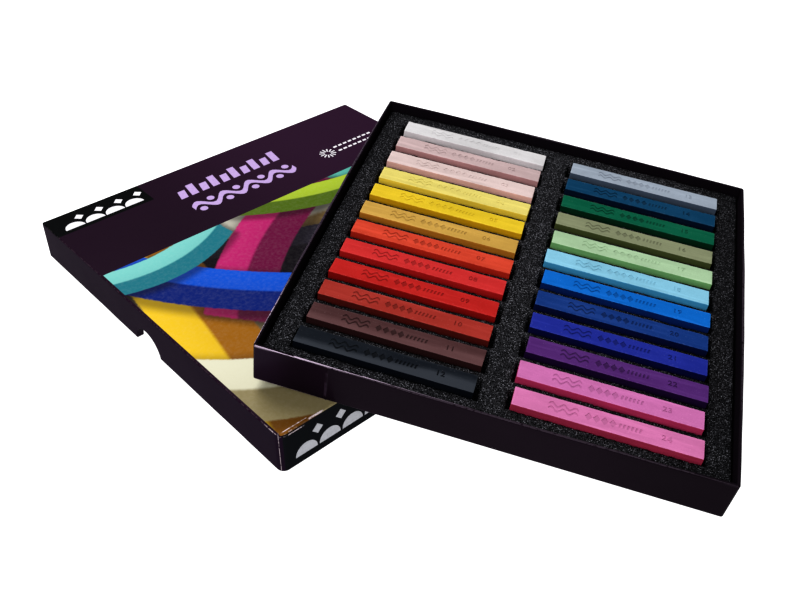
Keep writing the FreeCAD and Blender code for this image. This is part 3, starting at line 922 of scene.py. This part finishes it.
def foam_grid(low, high, step, columns, rows, levels):
    """A block of foam with slots through it, as a closed skin of small quads."""
    xs = marks(low.x, high.x, [edge for span in columns for edge in span], step)
    ys = marks(low.y, high.y, [edge for span in rows for edge in span], step)
    zs = [high.z + (low.z - high.z) * (k / levels) ** 1.5 for k in range(levels + 1)]
    points, index, faces = [], {}, []

    def point(i, j, k):
        if (i, j, k) not in index:
            index[i, j, k] = len(points)
            points.append(Vector((xs[i], ys[j], zs[k])))
        return index[i, j, k]

    def solid(i, j):
        if not (0 <= i < len(xs) - 1 and 0 <= j < len(ys) - 1):
            return False
        mid_x, mid_y = (xs[i] + xs[i + 1]) / 2, (ys[j] + ys[j + 1]) / 2
        return not (covered(mid_x, columns) and covered(mid_y, rows))

    for i in range(len(xs) - 1):
        for j in range(len(ys) - 1):
            if not solid(i, j):
                continue
            around = [(i, j), (i + 1, j), (i + 1, j + 1), (i, j + 1)]
            faces.append([point(*spot, 0) for spot in around])
            faces.append([point(*spot, levels) for spot in reversed(around)])
            sides = [(i, j - 1), (i + 1, j), (i, j + 1), (i - 1, j)]
            for side, neighbour in enumerate(sides):
                if solid(*neighbour):
                    continue
                a, b = around[side], around[(side + 1) % 4]
                for k in range(levels):
                    faces.append([point(*a, k + 1), point(*b, k + 1), point(*b, k), point(*a, k)])
    return points, faces


def edged(value, spans):
    """The span that has an edge at a value, or None."""
    return next((span for span in spans for edge in span if abs(value - edge) < TOUCHING), None)


def away(value, span):
    """The direction from a span's middle to a value."""
    return 1 if value > sum(span) / 2 else -1


def ragged(points, low, high, columns, rows):
    """Roughs up cut foam: soft swells, torn slot edges that only move away from the sticks."""
    torn = []
    for p in points:
        swell = noise.noise(Vector((p.x, p.y, 0)) * SWELLS_PER_METRE)
        tear = noise.noise(p * TEARS_PER_METRE + TEAR_START)
        nick = noise.noise(p * NICKS_PER_METRE)
        q = p.copy()
        row, column = edged(p.y, rows), edged(p.x, columns)
        at_row = row and (column or covered(p.x, columns))
        at_column = column and (row or covered(p.y, rows))
        if at_row:
            q.y += away(p.y, row) * (0.1 + 0.5 * abs(tear) + 0.2 * max(0, swell)) * MM
        if at_column:
            q.x += away(p.x, column) * 0.6 * abs(tear) * MM
        at_slot = at_row or at_column
        if not at_slot and low.x < p.x < high.x and low.y < p.y < high.y:
            q.x += 0.25 * tear * MM
            q.y += 0.25 * nick * MM
        if p.z > high.z - TOUCHING:
            q.z += (0.35 * swell + 0.3 * nick) * MM
            if at_slot:
                q.z -= (0.15 + 0.35 * abs(nick)) * MM
        torn.append(q)
    return torn


def foam_sheet(name, low, high, step, material, columns=(), rows=(), levels=4):
    """One sheet of foam in the tray."""
    points, faces = foam_grid(low, high, step, columns, rows, levels)
    mesh = new_mesh(name, ragged(points, low, high, columns, rows), faces)
    mesh.shade_smooth()
    return add_piece(name, mesh, TRAY_SEAT, "tray_body", material)


def make_foam():
    """Slotted upper sheet and plain lower sheet of the foam insert."""
    columns, rows = slot_spans()
    insert = foam_sheet("foam_insert", FOAM_LOW, FOAM_HIGH, FOAM_STEP, foam("foam_top"), columns, rows)
    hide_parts(FOAM)
    bed = foam_sheet("foam_bed", BED_LOW, BED_HIGH, BED_STEP, foam("foam_under", 0.3), levels=3)
    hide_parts(FOAM_BED)


# ---- sticks

STICK_BEVEL = 0.35 * MM
STICK_STEPS = 46
PRESS_DEPTH = 0.16 * MM
DIGIT_HEIGHT = 2.2 * MM
DIGIT_WEIGHT = 0.09 * MM
DIGIT_PLACE = 51.2 * MM


def bar_mesh(name, size, chance):
    """A square bar with rounded edges, a few of them chipped, and slightly worn ends."""
    work = bmesh.new()
    bmesh.ops.create_cube(work, size=1.0)
    bmesh.ops.scale(work, verts=work.verts, vec=size)
    bmesh.ops.bevel(work, geom=work.edges[:], offset=STICK_BEVEL, segments=2, profile=0.6, affect="EDGES")
    for k in range(1, STICK_STEPS):
        x = size.x * (k / STICK_STEPS - 0.5)
        bmesh.ops.bisect_plane(work, geom=work.verts[:] + work.edges[:] + work.faces[:],
                               plane_co=(x, 0, 0), plane_no=(1, 0, 0))
    start = Vector([chance.uniform(-9, 9) for _ in range(3)])
    inner = size / 2 - Vector((1, 1, 1)) * STICK_BEVEL * 1.05
    for vertex in work.verts:
        p = vertex.co.copy()
        if sum(abs(p[axis]) > inner[axis] for axis in range(3)) >= 2:
            inward = -Vector((0, math.copysign(1, p.y), math.copysign(1, p.z)))
            chip = max(0.0, noise.noise(p * 420 + start) - 0.3)
            vertex.co += inward * (chip * 0.3 + 0.03 * abs(noise.noise(p * 90 + start))) * MM
        if abs(p.x) > inner.x:
            vertex.co.x -= math.copysign(0.35, p.x) * max(0.0, noise.noise(p * 260 + start)) * MM
    return finish_mesh(work, name)


def number_mesh(number):
    """The two digits of a plain number as closed solids, centred on the origin."""
    curve = bpy.data.curves.new("number", "FONT")
    curve.body = "%02d" % number
    curve.size = DIGIT_HEIGHT * 1.4
    curve.extrude = PRESS_DEPTH
    curve.offset = DIGIT_WEIGHT
    curve.resolution_u = 2
    curve.align_x = "CENTER"
    curve.align_y = "CENTER"
    curve.space_character = 1.15
    text = bpy.data.objects.new("number", curve)
    mesh = bpy.data.meshes.new_from_object(text)
    bpy.data.objects.remove(text)
    return mesh


def stamp_outlines():
    """The pressed ornament along a stick, in millimetres from its left end and its middle line."""
    shapes = [wave(12.0, y, 10.0, 0.8, 0.75, 2.5) for y in (1.0, -1.0)]
    shapes += [lozenge(25.4 + 2.7 * k, 0, 2.4, 3.4) for k in range(4)]
    shapes += [slanted_bar(35.4 + 1.35 * k, -0.9, 0.65, 1.8, 0.35) for k in range(6)]
    return shapes


def make_stamp(number, size, material):
    """Cutter for one stick: ornament and the stick's place number, pressed from above."""
    work = bmesh.new()
    left = -size.x / 2
    for outline in stamp_outlines():
        raise_outline(work, [(x * MM + left, y * MM) for x, y in outline], 0, 2 * PRESS_DEPTH)
    digits = number_mesh(number)
    digits.transform(Matrix.Translation((DIGIT_PLACE + left, 0, PRESS_DEPTH)))
    work.from_mesh(digits)
    bmesh.ops.remove_doubles(work, verts=work.verts, dist=1e-6)
    bmesh.ops.recalc_face_normals(work, faces=work.faces)
    mesh = finish_mesh(work, "stamp")
    mesh.transform(Matrix.Translation((0, 0, size.z / 2 - PRESS_DEPTH)))
    return add_piece("stamp", mesh, Matrix.Identity(4), None, material)


def make_stick(node, number):
    """One pastel stick in its slot, with its pressed marks."""
    colour_name = node.split("_", 2)[2]
    colour = srgb(*STICK_LOOKS[colour_name][0])
    shift = Vector((number * 0.37, number * 0.11, 0))
    low, high = local_box(node, TRAY_SEAT)
    name = "stick_%02d_%s" % (number, colour_name)
    mesh = bar_mesh(name, high - low, random.Random(number))
    skin = chalk("chalk_" + colour_name, colour, shift, band=RUBBED_FRONTS_AND_SHEEN.get(colour_name, 0.0),
                 side=painted_side_shade(colour_name))
    stick = add_piece(name, mesh, Matrix.Identity(4), None, skin)
    # The pressed marks carry painted shade.
    pressed = pressed_shade_chalk("pressed_" + colour_name, colour, shift)
    cut(stick, make_stamp(number, high - low, pressed))
    smooth(stick, 40)
    stick.matrix_world = TRAY_SEAT @ Matrix.Translation((low + high) / 2)
    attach(stick, "pastel_%02d_body" % number)
    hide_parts(node)


# ---- stage

IMAGE_WIDTH = 800
FOCAL_PIXELS = 938.31
SENSOR_WIDTH = 36.0
CAMERA_SHIFT = -0.0492
CAMERA_PLACE = Vector((-0.23241, -0.21593, 0.24293))
CAMERA_AHEAD = Vector((0.54987, 0.59912, -0.58198))
CAMERA_RIGHT = Vector((0.73732, -0.67554, 0.00119))

FLOOR_REACH = 4.0
FLOOR_DROP = 0.2 * MM
FLOOR_GLOW = 0.8


def make_floor():
    """Wide pale sheet under the box that glows faintly, so that it renders as white."""
    corners = [(x * FLOOR_REACH, y * FLOOR_REACH, 0) for x, y in CORNER_SIGNS]
    material, nodes, shader = start_material("pale_floor", roughness=0.9, specular=0.1)
    tone = nodes.mix(nodes.noise(nodes.place(), 3, 2), (0.28, 0.28, 0.28, 1), (0.3, 0.3, 0.3, 1))
    nodes.feed(shader["Base Color"], tone)
    shader["Emission Color"].default_value = WHITE
    shader["Emission Strength"].default_value = FLOOR_GLOW
    seat = Matrix.Translation((0, 0, -FLOOR_DROP))
    floor = add_piece("floor", new_mesh("floor", corners, [(0, 1, 2, 3)]), seat, None, material)


def add_area_light(name, place, size, power):
    """A round lamp that looks at the middle of the box."""
    light = bpy.data.lights.new(name, "AREA")
    light.shape = "DISK"
    light.size = size
    light.energy = power
    lamp = bpy.data.objects.new(name, light)
    bpy.context.scene.collection.objects.link(lamp)
    lamp.location = place
    lamp.rotation_euler = (-Vector(place)).to_track_quat("-Z", "Y").to_euler()


def make_light():
    """Soft studio light from behind and from the front left, and an even surround."""
    add_area_light("key", (0.15, 0.7, 1.15), size=0.9, power=11.5)
    add_area_light("fill", (-0.9, -0.55, 0.8), size=1.0, power=9)
    world = bpy.data.worlds.new("studio")
    world.use_nodes = True
    backdrop = world.node_tree.nodes["Background"]
    backdrop.inputs["Color"].default_value = WHITE
    backdrop.inputs["Strength"].default_value = 0.2
    bpy.context.scene.world = world
    bpy.context.scene.view_settings.view_transform = "Standard"
    bpy.context.scene.view_settings.look = "High Contrast"


def make_camera():
    """The photograph's viewpoint: above the front left, looking down across the box."""
    data = bpy.data.cameras.new("camera")
    data.sensor_width = SENSOR_WIDTH
    data.lens = FOCAL_PIXELS * SENSOR_WIDTH / IMAGE_WIDTH
    data.shift_y = CAMERA_SHIFT
    data.clip_start = 0.01
    camera = bpy.data.objects.new("camera", data)
    bpy.context.scene.collection.objects.link(camera)
    ahead = CAMERA_AHEAD.normalized()
    right = (CAMERA_RIGHT - ahead * CAMERA_RIGHT.dot(ahead)).normalized()
    turn = Matrix((right, right.cross(ahead), -ahead)).transposed().to_4x4()
    camera.matrix_world = Matrix.Translation(CAMERA_PLACE) @ turn
    bpy.context.scene.camera = camera


make_lid()
make_lid_ornament()
make_tray()
make_foam()
for place_number, stick_node in enumerate(STICKS, start=1):
    make_stick(stick_node, place_number)
make_floor()
make_light()
make_camera()
